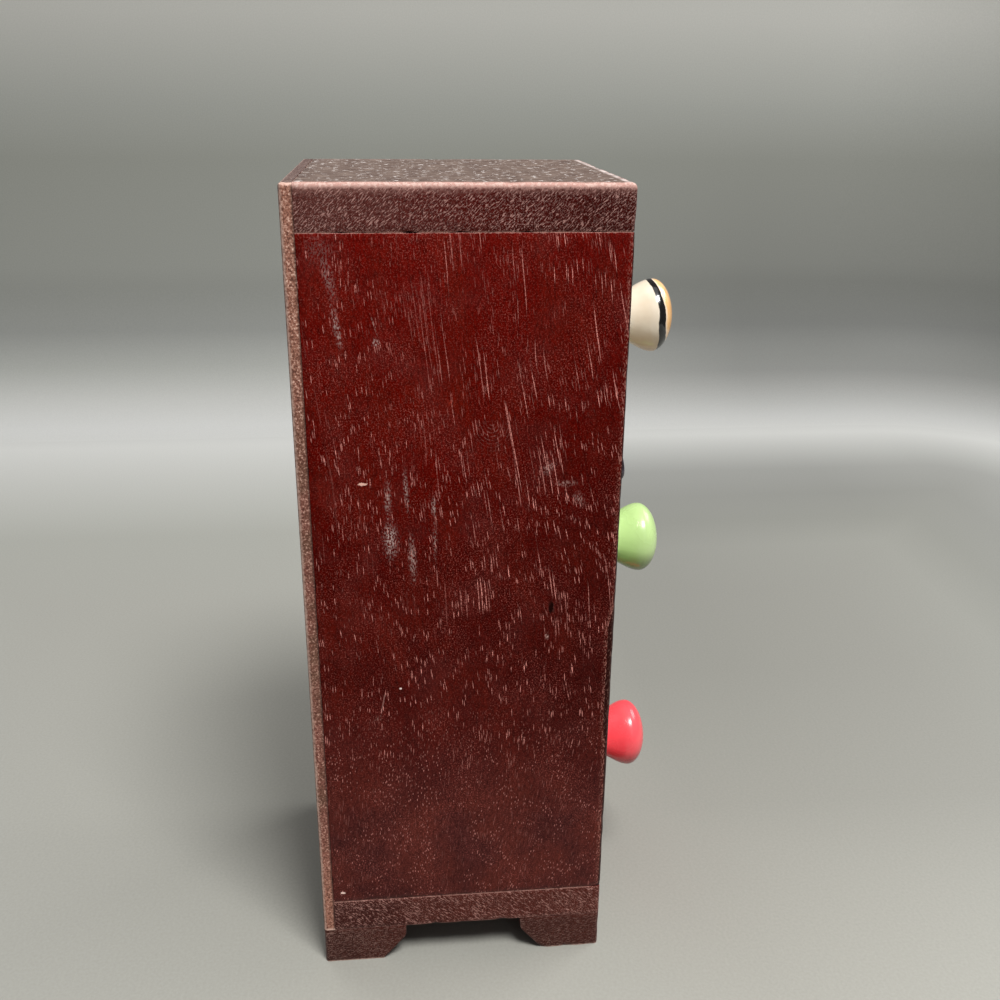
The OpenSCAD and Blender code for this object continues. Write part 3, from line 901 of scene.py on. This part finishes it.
def foot(node, finishes):
    """A block foot: both inner faces slope in to the toe."""
    low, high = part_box(node)
    bm = block(low, high)
    inner_x = high.x if low.x < 0 else low.x
    inner_y = high.y if low.y < 0 else low.y
    for axis, inner, centre in ((0, inner_x, low.x), (1, inner_y, low.y)):
        spot = Vector((0, 0, SLOPE_H * MM))
        spot[axis] = inner
        normal = Vector((0, 0, -TOE))
        normal[axis] = -math.copysign(SLOPE_H, centre)
        cut(bm, spot, normal.normalized(), clear_outer=True)
        bmesh.ops.holes_fill(bm, edges=bm.edges)
    slope_top = edges(bm, lambda co: at(co.z, SLOPE_H * MM))
    ease(bm, [edge for edge in slope_top if 0.2 < edge.calc_face_angle() < 1.3], FOOT_NOSE_R, 4)
    outer_x = low.x if low.x < 0 else high.x
    outer_y = low.y if low.y < 0 else high.y
    ease(bm, edges(bm, lambda co: at(co.x, outer_x) and at(co.y, outer_y)), EDGE_R, 4)
    ease(bm, sharp_edges(bm), ARRIS_R, 2)
    knock(bm, low, high, (12, 14, 8), 0.8, 2.2)
    piece(node + "_dressed", bm, "chest", finishes, [node])


# Drop of varnish in mm: its half sizes, how far its middle lies in from the corner of the left side,
# and at what height
DROP = (1.0, 1.5, 4.2)
DROP_IN = (1.6, 0.4)
DROP_Z = 195.5


def varnish_run(finishes):
    """A drop that ran down the front edge of the left side and dried there."""
    corner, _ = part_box("left_side")
    bm = bmesh.new()
    bmesh.ops.create_icosphere(bm, subdivisions=4, radius=1)
    for vert in bm.verts:
        # Thin above and full below, like a tear
        vert.co.xy *= 0.75 - 0.35 * vert.co.z
    size = Matrix.Diagonal([half * MM for half in DROP] + [1])
    middle = (corner.x + DROP_IN[0] * MM, corner.y + DROP_IN[1] * MM, DROP_Z * MM)
    bmesh.ops.transform(bm, matrix=Matrix.Translation(middle) @ size, verts=bm.verts)
    piece("varnish_run", bm, "chest", finishes, [])


# Knobs in mm: radii of base, waist and head, how far the waist and the head lie from the drawer, and
# radius and depth of the hole for the stud
BASE_R = 10.3
WAIST_R = 8.9
WAIST_L = 8.4
HEAD_R = 13.0
HEAD_L = 19.0
STUD_R = 2.0
STUD_IN = 13.0
# How far a knob is out of round, as a share, and how much smaller the top one was thrown
UNEVEN = 0.008
SHRUNK = {"top_knob": 0.02}


def curve(points, steps):
    """Points on a cubic curve, without its end."""
    a, b, c, d = (Vector(point) for point in points)
    for step in range(steps):
        t = step / steps
        yield (1 - t) ** 3 * a + 3 * (1 - t) ** 2 * t * b + 3 * (1 - t) * t * t * c + t ** 3 * d


def knob(node, body, finishes):
    """A knob thrown about its stud: flared base, waist, head and a low dome, a touch uneven."""
    low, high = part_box(node)
    length = (high.y - low.y) / MM
    middle = Vector((0, high.y, (low.z + high.z) / 2))
    flare, dome = HEAD_L - WAIST_L, length - HEAD_L
    waist, widest = (WAIST_R, WAIST_L), (HEAD_R, HEAD_L)
    neck = [(BASE_R, 0.5), ((BASE_R + WAIST_R) / 2, WAIST_L * 0.42), (WAIST_R, WAIST_L * 0.55), waist]
    head = [waist, (WAIST_R, WAIST_L + flare * 0.25), (HEAD_R, HEAD_L - flare * 0.39), widest]
    cap = [widest, (HEAD_R, HEAD_L + dome * 0.5), (HEAD_R * 0.62, length), (0, length)]
    outline = [(0, STUD_IN), (STUD_R, STUD_IN), (STUD_R, 0), (BASE_R - 0.5, 0), (BASE_R - 0.1, 0.15)]
    for part, steps in ((neck, 12), (head, 14), (cap, 18)):
        outline += [tuple(point) for point in curve(part, steps)]
    outline.append((0, length))
    bm = bmesh.new()
    verts = [bm.verts.new(middle + Vector((radius, -out, 0)) * MM) for radius, out in outline]
    rim = [bm.edges.new(pair) for pair in zip(verts, verts[1:])]
    bmesh.ops.spin(
        bm, geom=verts + rim, cent=middle, axis=(0, 1, 0), angle=2 * math.pi, steps=96, use_merge=True)
    bmesh.ops.remove_doubles(bm, verts=bm.verts, dist=JOINED * MM)
    for vert in bm.verts:
        # Thrown by hand: up to 0.2 mm out of round, and only inwards
        away = vert.co - middle
        uneven = SHRUNK.get(node, 0.0) + UNEVEN + UNEVEN * noise.noise(vert.co / (9 * MM))
        if Vector((away.x, away.z)).length > 2 * STUD_R * MM:
            vert.co -= Vector((away.x, 0, away.z)) * uneven
    piece(node + "_dressed", bm, body, finishes, [node])


# Drawers in mm, as cast: thickness of front, walls and floor, how far the box stands in from its
# front and its rim below it, radii of corners, cove, lips and front, and the foot ring's width,
# height and radius
FRONT_T = 7.5
WALL_T = 4.5
FLOOR_T = 5.0
BOX_IN = 1.2
RIM_DROP = 9.0
BOX_R = 7.0
COVE_R = 2.3
LIP_R = 1.5
FRONT_R = 2.0
RING_W = 7.0
RING_H = 0.8
RING_R = 0.7
# How far the box's own front wall reaches into the back of the drawer front
BITE = 4.2
# Radius in mm of the back edges of the drawer front, and how far its face waves
BACK_R = 0.8
WAVY = 0.12
# Where the glaze inside and the bare clay stand among a drawer's finishes, after the glaze outside
INSIDE, BARE = 1, 2


def drawer_front(low, high):
    """The thick front, with soft edges and a face that isn't quite flat."""
    back_corner = Vector((high.x, low.y + FRONT_T * MM, high.z))
    bm = block(low, back_corner)
    corners = [edge for edge in bm.edges if runs_along(edge, 1)]
    ease(bm, edges(bm, lambda co: at(co.y, low.y)) + corners, FRONT_R, 6)
    ease(bm, sharp_edges(bm), BACK_R, 3)
    grid(bm, low, back_corner, (16, 1, 16))
    for vert in bm.verts:
        if vert.co.y < low.y + 0.5 * MM:
            vert.co.y += (WAVY + WAVY * noise.noise(vert.co / (16 * MM))) * MM
    return bm


def drawer_box(low, high):
    """The thin-walled box behind the front, with coved corners and a foot ring."""
    half = high.x - BOX_IN * MM
    rim = high.z - RIM_DROP * MM
    start = low.y + (FRONT_T - BITE) * MM
    bm = block(Vector((-half, start, low.z)), Vector((half, high.y, rim)))
    back = edges(bm, lambda co: at(co.y, high.y))
    ease(bm, [edge for edge in back if runs_along(edge, 2)], BOX_R, 10)
    top = [face for face in bm.faces if face.normal.z > 0.9]
    bmesh.ops.inset_region(bm, faces=top, thickness=WALL_T * MM, use_even_offset=True)
    floor = low.z + FLOOR_T * MM
    pull(bm, top, (0, 0, floor - rim))
    front_wall = start + WALL_T * MM
    upright = edges(bm, lambda co: at(co.y, front_wall) and abs(co.x) < half - 0.5 * WALL_T * MM)
    ease(bm, [edge for edge in upright if runs_along(edge, 2)], COVE_R + 0.2, 6)
    ease(bm, corners_at(bm, floor), COVE_R, 6)
    under = [face for face in bm.faces if face.normal.z < -0.9 and at(face.calc_center_median().z, low.z)]
    bmesh.ops.inset_region(bm, faces=under, thickness=RING_W * MM, use_even_offset=True)
    pull(bm, under, (0, 0, RING_H * MM))
    ease(bm, corners_at(bm, rim), LIP_R, 5)
    ring_x = half - (RING_W + 1) * MM
    ring = [edge for edge in corners_at(bm, low.z) if max(abs(vert.co.x) for vert in edge.verts) > ring_x]
    ease(bm, ring, RING_R, 3)
    for face in bm.faces:
        spot = face.calc_center_median()
        if spot.z > floor - 0.1 * MM and face.normal.z > -0.5 and abs(spot.x) < half - 0.9 * WALL_T * MM:
            if start + 0.9 * WALL_T * MM < spot.y < high.y - 0.9 * WALL_T * MM:
                face.material_index = INSIDE
        elif face.normal.z < -0.5 and spot.z < low.z + 1.2 * MM:
            face.material_index = BARE
    return bm


def drawer(level, finishes):
    """One drawer, cast in one piece: its front and its box are joined and made one closed shell."""
    node = level + "_drawer"
    low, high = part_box(node)
    made = []
    for bm in (drawer_front(low, high), drawer_box(low, high)):
        bmesh.ops.recalc_face_normals(bm, faces=bm.faces)
        made.append(add(node + "_part", mesh_of(node, bm, finishes)))
    front, box = made
    union = front.modifiers.new("cast together", "BOOLEAN")
    union.operation = "UNION"
    union.solver = "EXACT"
    union.object = box
    joined = bmesh.new()
    joined.from_object(front, bpy.context.evaluated_depsgraph_get())
    for part in made:
        bpy.data.objects.remove(part)
    bmesh.ops.remove_doubles(joined, verts=joined.verts, dist=JOINED * MM)
    piece(node + "_dressed", joined, "drawer_" + level, finishes, [node])


# ---------------------------------------------------------------- the chest

SEAM = Rub("#b58a7e", 0.4, 0.6, 1.2, "flat")
SIDES = Stain(
    reds=(
        (28, "#4a1c17"), (62, "#471712"), (92, "#430e0a"), (125, "#3e0502"),
        (165, "#470300"), (215, "#580500"), (265, "#600a05"),
    ),
    patch="#661c11", ends=("#3f191a", "#4b1a19", "#45282a"),
    specks=("#ffa89c", "#b8645a"), grit=0.6, cut=0.6, lean=30, rubs=(SEAM,))
TOP = Stain(
    reds=((200, "#4a1512"), (CHEST_H, "#4a1512")), patch="#552219", ends=("#3a100c", "#4a130e", "#532b26"),
    specks=("#b98e85", "#c8a29a"), grit=0.65, cut=0.75, lean=45,
    rubs=(
        SEAM,
        # The rubs round the top are part wear and part a painted highlight along the rounded top edges
        Rub("#a0776e", 4.2, 0.4, 0.8, "top"),
        Rub("#dcb6aa", 2.1, 0.95, 0.5, "top"),
        Rub("#8c584e", 1.8, 0.75, 1.3, "top"),
        Rub("#ceb2a7", 1.1, 0.85, 2.4, "top"),
    ))
BOTTOM = Stain(
    reds=((0, "#4a1a18"), (CHEST_H, "#4a1a18")), patch="#552219", ends=("#4d211a", "#4c211a", "#391814"),
    specks=("#b88a80", "#b08076"), grit=0.8, cut=0.85, lean=-50, rubs=(SEAM,))
SHELVES = SIDES._replace(
    reds=((0, "#4a0f0a"), (CHEST_H, "#4a0f0a")), rubs=(Rub("#b08074", 0.8, 0.6, 0.7, "flat"),))
FEET = Stain(
    reds=((0, "#451c1d"), (CHEST_H, "#451c1d")), patch="#4e241c", ends=("#43201a", "#41201a", "#3d201b"),
    specks=("#94746b", "#a08076"), grit=0.85, cut=0.6, lean=78,
    rubs=(Rub("#d0a698", 0.7, 1.0, 0.7, "foot"),))

# Marks of use on the left side, from the back to the front
LEFT_MARKS = (
    Mark(56.9, 32.0, 1.1, 0.6, 0.0, "#f0cfc2", 1.0, 0),
    Mark(51.4, 257.0, 2.2, 9.0, 0.2, "#a88f89", 0.6, 1),
    Mark(49.6, 242.0, 1.5, 9.0, 0.15, "#c0a8a1", 0.75, 1),
    Mark(54.0, 265.0, 6.5, 6.0, 0.0, "#80645f", 0.5, 1),
    Mark(43.8, 192.4, 1.8, 0.6, 0.0, "#e9b9a8", 1.0, 0),
    Mark(41.7, 106.2, 1.9, 1.3, 0.0, "#a98278", 0.6, 1),
    Mark(39.7, 112.3, 0.3, 5.5, -0.2, "#9a7068", 0.6, 0),
    Mark(38.3, 237.6, 1.4, 1.6, 0.0, "#d2b8b0", 1.0, 1),
    Mark(38.6, 243.0, 0.4, 5.0, 0.3, "#b8958c", 0.8, 1),
    Mark(36.0, 187.0, 1.5, 8.0, 0.0, "#bda39b", 0.8, 1),
    Mark(35.5, 173.0, 3.2, 9.0, 0.0, "#c6afa8", 0.9, 1),
    Mark(33.6, 117.7, 0.5, 0.5, 0.0, "#f6e2da", 1.0, 0),
    Mark(30.2, 190.0, 1.1, 10.0, 0.04, "#bb9f97", 0.8, 1),
    Mark(28.7, 166.0, 1.8, 11.0, 0.04, "#bb9f97", 0.8, 1),
    Mark(21.5, 184.0, 1.2, 5.0, 0.0, "#b79d95", 0.8, 1),
    Mark(21.3, 172.0, 1.1, 9.0, 0.0, "#a98a82", 0.7, 1),
    Mark(15.8, 218.5, 2.6, 2.0, 0.0, "#9c3426", 0.7, 1),
    Mark(-15.5, 196.5, 2.4, 3.2, -0.3, "#b89088", 0.9, 1),
    Mark(-21.0, 191.0, 5.0, 1.6, 0.0, "#a9827a", 0.8, 1),
    Mark(-25.5, 185.5, 2.2, 3.4, 0.3, "#b89088", 0.8, 1),
    Mark(-16.3, 135.8, 0.9, 1.6, 0.0, "#d6b0a6", 0.9, 1),
    Mark(-17.4, 146.2, 1.6, 3.0, 0.0, "#8a5a52", 0.7, 1),
    Mark(-17.4, 146.4, 1.0, 2.9, 0.0, "#0d0403", 1.0, 0),
)

top_board([stained_wood("stained wood of top board", "top_board", "x", TOP, seed=21, dust_and_sheen=0.85)])
bottom_board([stained_wood("stained wood of bottom board", "bottom_board", "x", BOTTOM, seed=31)])
for node, seed, marks in (("left_side", 0, LEFT_MARKS), ("right_side", 11, ())):
    wood = stained_wood(
        "stained wood of " + node, node, "z", SIDES, seed=seed, bow=0.23, marks=marks, shaded_front_line=True)
    side_board(node, [wood])
for node, seed in (("upper_shelf", 41), ("lower_shelf", 48)):
    shelf(node, [stained_wood("stained wood of " + node, node, "x", SHELVES, seed=seed)])
for number, corner in enumerate(("front_left", "front_right", "back_left", "back_right")):
    node = corner + "_foot"
    foot(node, [stained_wood("stained wood of " + node, node, "x", FEET, seed=61 + 7 * number)])
varnish_run([varnish("dried varnish")])

white_inside = glaze("white liner glaze", "top_drawer", "#e9e4d6", "#e0d8c6", "#f2ecdf", specks=0.5)
bare_clay = biscuit("bare earthenware")
# For each level the name of its glaze, its colour, deeper pools and thin edges, and its knob's paint,
# which includes painted shade
LEVELS = {
    "top": ("cream", "#e3d8c6", "#d8c9b2", "#ece3d5", banded_knob),
    "middle": ("lime", "#bbd691", "#b0cc87", "#cbe1aa", plain_knob_with_painted_shade),
    "bottom": ("coral", "#f35a61", "#ea4a53", "#f78884", plain_knob_with_painted_shade),
}
for level, (glaze_name, hue, deep, thin, paint) in LEVELS.items():
    node = level + "_drawer"
    specks = 0.8 if level == "top" else 0.0
    outside = glaze(glaze_name + " glaze on the drawer", node, hue, deep, thin, specks=specks)
    drawer(level, [outside, white_inside, bare_clay])
    node = level + "_knob"
    gloss = 1.0 if paint is banded_knob else 0.5
    head = glaze(glaze_name + " glaze on the knob", node, hue, deep, thin, paint=paint, gloss=gloss)
    knob(node, "drawer_" + level, [head])

# Finishes of the CAD nodes that show as they are
plated = steel("zinc-plated steel", "#b9bab6", "#8f918f")
threaded = steel("zinc-plated thread", "#b9bab6", "#8f918f", pitch=PITCH)
bright = steel("mild steel nail", "#8c8985", "#5f5750")
dressed = {
    "back_panel": back_board("stained plywood", "back_panel"),
    "case_dowels": beech("beech dowel"),
    "back_panel_pins": bright,
    "foot_brads": bright,
}
for level in LEVELS:
    dressed[level + "_knob_stud"] = threaded
    dressed[level + "_knob_washer"] = plated
    dressed[level + "_knob_nut"] = plated
for node, material in dressed.items():
    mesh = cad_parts[node].data
    mesh.materials.clear()
    mesh.materials.append(material)


# ---------------------------------------------------------------- studio

# Tones of the paper, by its distance from the middle along the floor and up the wall, in metres: a painted
# highlight just before and at the start of the bend, and painted shade on the bend and the lower wall
PAPER = (
    (0.00, "#919088"),
    (0.25, "#93928b"),
    (0.37, "#979790"),
    (0.50, "#b0b0ab"),
    (0.58, "#bfbfbb"),
    (0.63, "#b6b6b3"),
    (0.69, "#a3a39f"),
    (0.74, "#8e8f8a"),
    (0.79, "#80817d"),
    (0.86, "#8d8e88"),
    (0.96, "#8a8b84"),
    (1.01, "#969791"),
    (1.09, "#aeada7"),
    (2.00, "#b8b7b1"),
)


# Room in metres: half its width up to the bend of the paper, radii of the bend and of its corners,
# and its height
ROOM = 0.60
BEND_R = 0.12
CORNER_R = 0.30
ROOM_H = 1.7


def out_from_middle(tree, place):
    """Distance out from the middle and up the wall, the same all round a rounded corner."""
    straight = ROOM + BEND_R - CORNER_R
    far = put(tree, VECTOR_UNSIGNED, place)
    far = put(tree, VECTOR_MINUS, far, (straight, straight, 0))
    far_x, far_y, z = put(tree, SPLIT, far).node.outputs
    bend = put(tree, VECTOR_GREATER, far, (0, 0, 0))
    bend = put(tree, VECTOR_TIMES, bend, (1, 1, 0))
    bend = put(tree, LENGTH, bend)
    out = put(tree, GREATER, far_x, far_y)
    out = put(tree, LESSER, out, 0.0)
    for part in (bend, z, straight):
        out = put(tree, PLUS, out, part)
    return out


def paper_light_and_shade(tree, x, y, run):
    """How light the paper is, as painted light and shade: painted shade round the bend, a painted shadow
    of the chest on the floor in front of it, and painted light on the near floor."""
    # Painted shade round the bend, on the side in front of the chest
    front = put(tree, RANGE, y, 0.05, -0.33)
    above = put(tree, RANGE, run, 0.58, 0.72, 0, 0.46)
    fading = put(tree, RANGE, run, 0.72, 1.02, 1.0, 0.1)
    above = put(tree, TIMES, above, fading)
    along = put(tree, RANGE, run, 0.60, 0.48, 0, 0.26)
    fading = put(tree, RANGE, run, 0.42, 0.32, 1.0, 0.1)
    along = put(tree, TIMES, along, fading)
    above = put(tree, PLUS, above, along)
    above = put(tree, TIMES, above, front)
    # Painted shadow of the chest on the floor in front of it
    beside = put(tree, RANGE, y, 0.02, -0.10, 0, 0.24)
    aside = put(tree, RANGE, y, -0.15, -0.42, 1.0, 0.35)
    below = put(tree, RANGE, run, 0.60, 0.48)
    behind = put(tree, RANGE, x, -0.08, 0.15, 0.35)
    for part in (aside, below, behind):
        beside = put(tree, TIMES, beside, part)
    # Painted light: the near floor gets lighter
    tone = put(tree, RANGE, x, 0.03, -0.09, 1.0, 1.2)
    for part in (above, beside):
        tone = put(tree, MINUS, tone, part)
    return tone


def paper(name):
    """Satin background paper: pale warm grey, with a painted highlight along the bend and painted shade
    above it.
    """
    material, tree, shader = finish(name)
    place = put(tree, COORDS, out="Object")
    x, y, _ = put(tree, SPLIT, place).node.outputs
    run = out_from_middle(tree, place)
    end = PAPER[-1][0]
    share = put(tree, RANGE, run, 0, end)
    colour = put(tree, RAMP, share, stops=[(far / end, linear(tone)) for far, tone in PAPER])
    tone = paper_light_and_shade(tree, x, y, run)
    grain = mottle(tree, in_mm(tree), 1.2, 0.3, 0.7, 0.95, 1.05, detail=3)
    tone = put(tree, TIMES, tone, grain)
    colour = put(tree, SCALED, colour, tone)
    set_shader(tree, shader, Base_Color=colour, Roughness=0.55, Specular_IOR_Level=0.2)
    return material


def studio(sheet):
    """A floor, and walls that rise from it all round. The camera alone sees the walls, so that light
    comes in freely."""
    half = ROOM + BEND_R
    bm = block(Vector((-half, -half, 0)), Vector((half, half, ROOM_H)))
    ease(bm, [edge for edge in bm.edges if runs_along(edge, 2)], CORNER_R / MM, 16)
    ease(bm, edges(bm, lambda co: at(co.z, 0)), BEND_R / MM, 16)
    bmesh.ops.reverse_faces(bm, faces=bm.faces)
    walls = bm.copy()
    for name, part, keep_flat in (("floor", bm, True), ("backdrop", walls, False)):
        part.faces.ensure_lookup_table()
        flat = [all(at(vert.co.z, 0) for vert in face.verts) for face in part.faces]
        gone = [face for face, is_flat in zip(part.faces, flat) if is_flat != keep_flat]
        bmesh.ops.delete(part, geom=gone, context="FACES")
        mesh = mesh_of(name, part, [sheet])
        mesh.shade_smooth()
        made = add(name, mesh)
        if name == "backdrop":
            made.visible_shadow = False
            made.visible_diffuse = False
            made.visible_glossy = False


def lamp(name, spot, aim, width, power):
    """A square soft lamp at a spot, turned to its aim."""
    light = bpy.data.lights.new(name, "AREA")
    light.shape = "SQUARE"
    light.size = width
    light.energy = power
    way = Vector(aim) - Vector(spot)
    turn = way.to_track_quat("-Z", "Y").to_matrix().to_4x4()
    add(name, light).matrix_world = Matrix.Translation(spot) @ turn


# Lamps: place, aim and width in metres, and power in watts
LAMPS = {
    "overhead": ((0.0, 0.05, 2.10), (0, 0, 0.1), 1.20, 5.5),
    "left key": ((-0.82, -0.37, 1.86), (0, 0, 0.14), 0.60, 47.5),
    "front fill": ((0.30, -0.85, 0.90), (0, 0, 0.14), 0.60, 6.5),
    "back fill": ((0.75, 0.60, 0.90), (0, 0, 0.14), 0.60, 3.0),
    "upper spark": ((-0.76, -0.25, 0.47), (0, -0.05, 0.2), 0.12, 0.16),
    "lower spark": ((-0.76, -0.25, 0.20), (0, -0.05, 0.2), 0.08, 0.06),
}

# Camera: place in metres, lens and sensor in mm, and in degrees how it turns, tilts and rolls
CAMERA_AT = (-0.3677, 0.0331, 0.3108)
LENS = 38.49
SENSOR = 36
TURN = -95.9
TILT = 68.67
ROLL = 0.6

studio(paper("satin paper"))
for name, settings in LAMPS.items():
    lamp(name, *settings)

world = bpy.data.worlds.new("studio air")
world.use_nodes = True
air = world.node_tree.nodes["Background"]
air.inputs["Color"].default_value = linear("#f4f5f6")
air.inputs["Strength"].default_value = 0.16
bpy.context.scene.world = world
bpy.context.scene.view_settings.view_transform = "Standard"

view = bpy.data.cameras.new("camera")
view.sensor_width = SENSOR
view.lens = LENS
view.clip_start = 0.01
camera = add("camera", view)
camera.matrix_world = (
    Matrix.Translation(CAMERA_AT)
    @ Matrix.Rotation(math.radians(TURN), 4, "Z")
    @ Matrix.Rotation(math.radians(TILT), 4, "X")
    @ Matrix.Rotation(math.radians(ROLL), 4, "Z")
)
bpy.context.scene.camera = camera
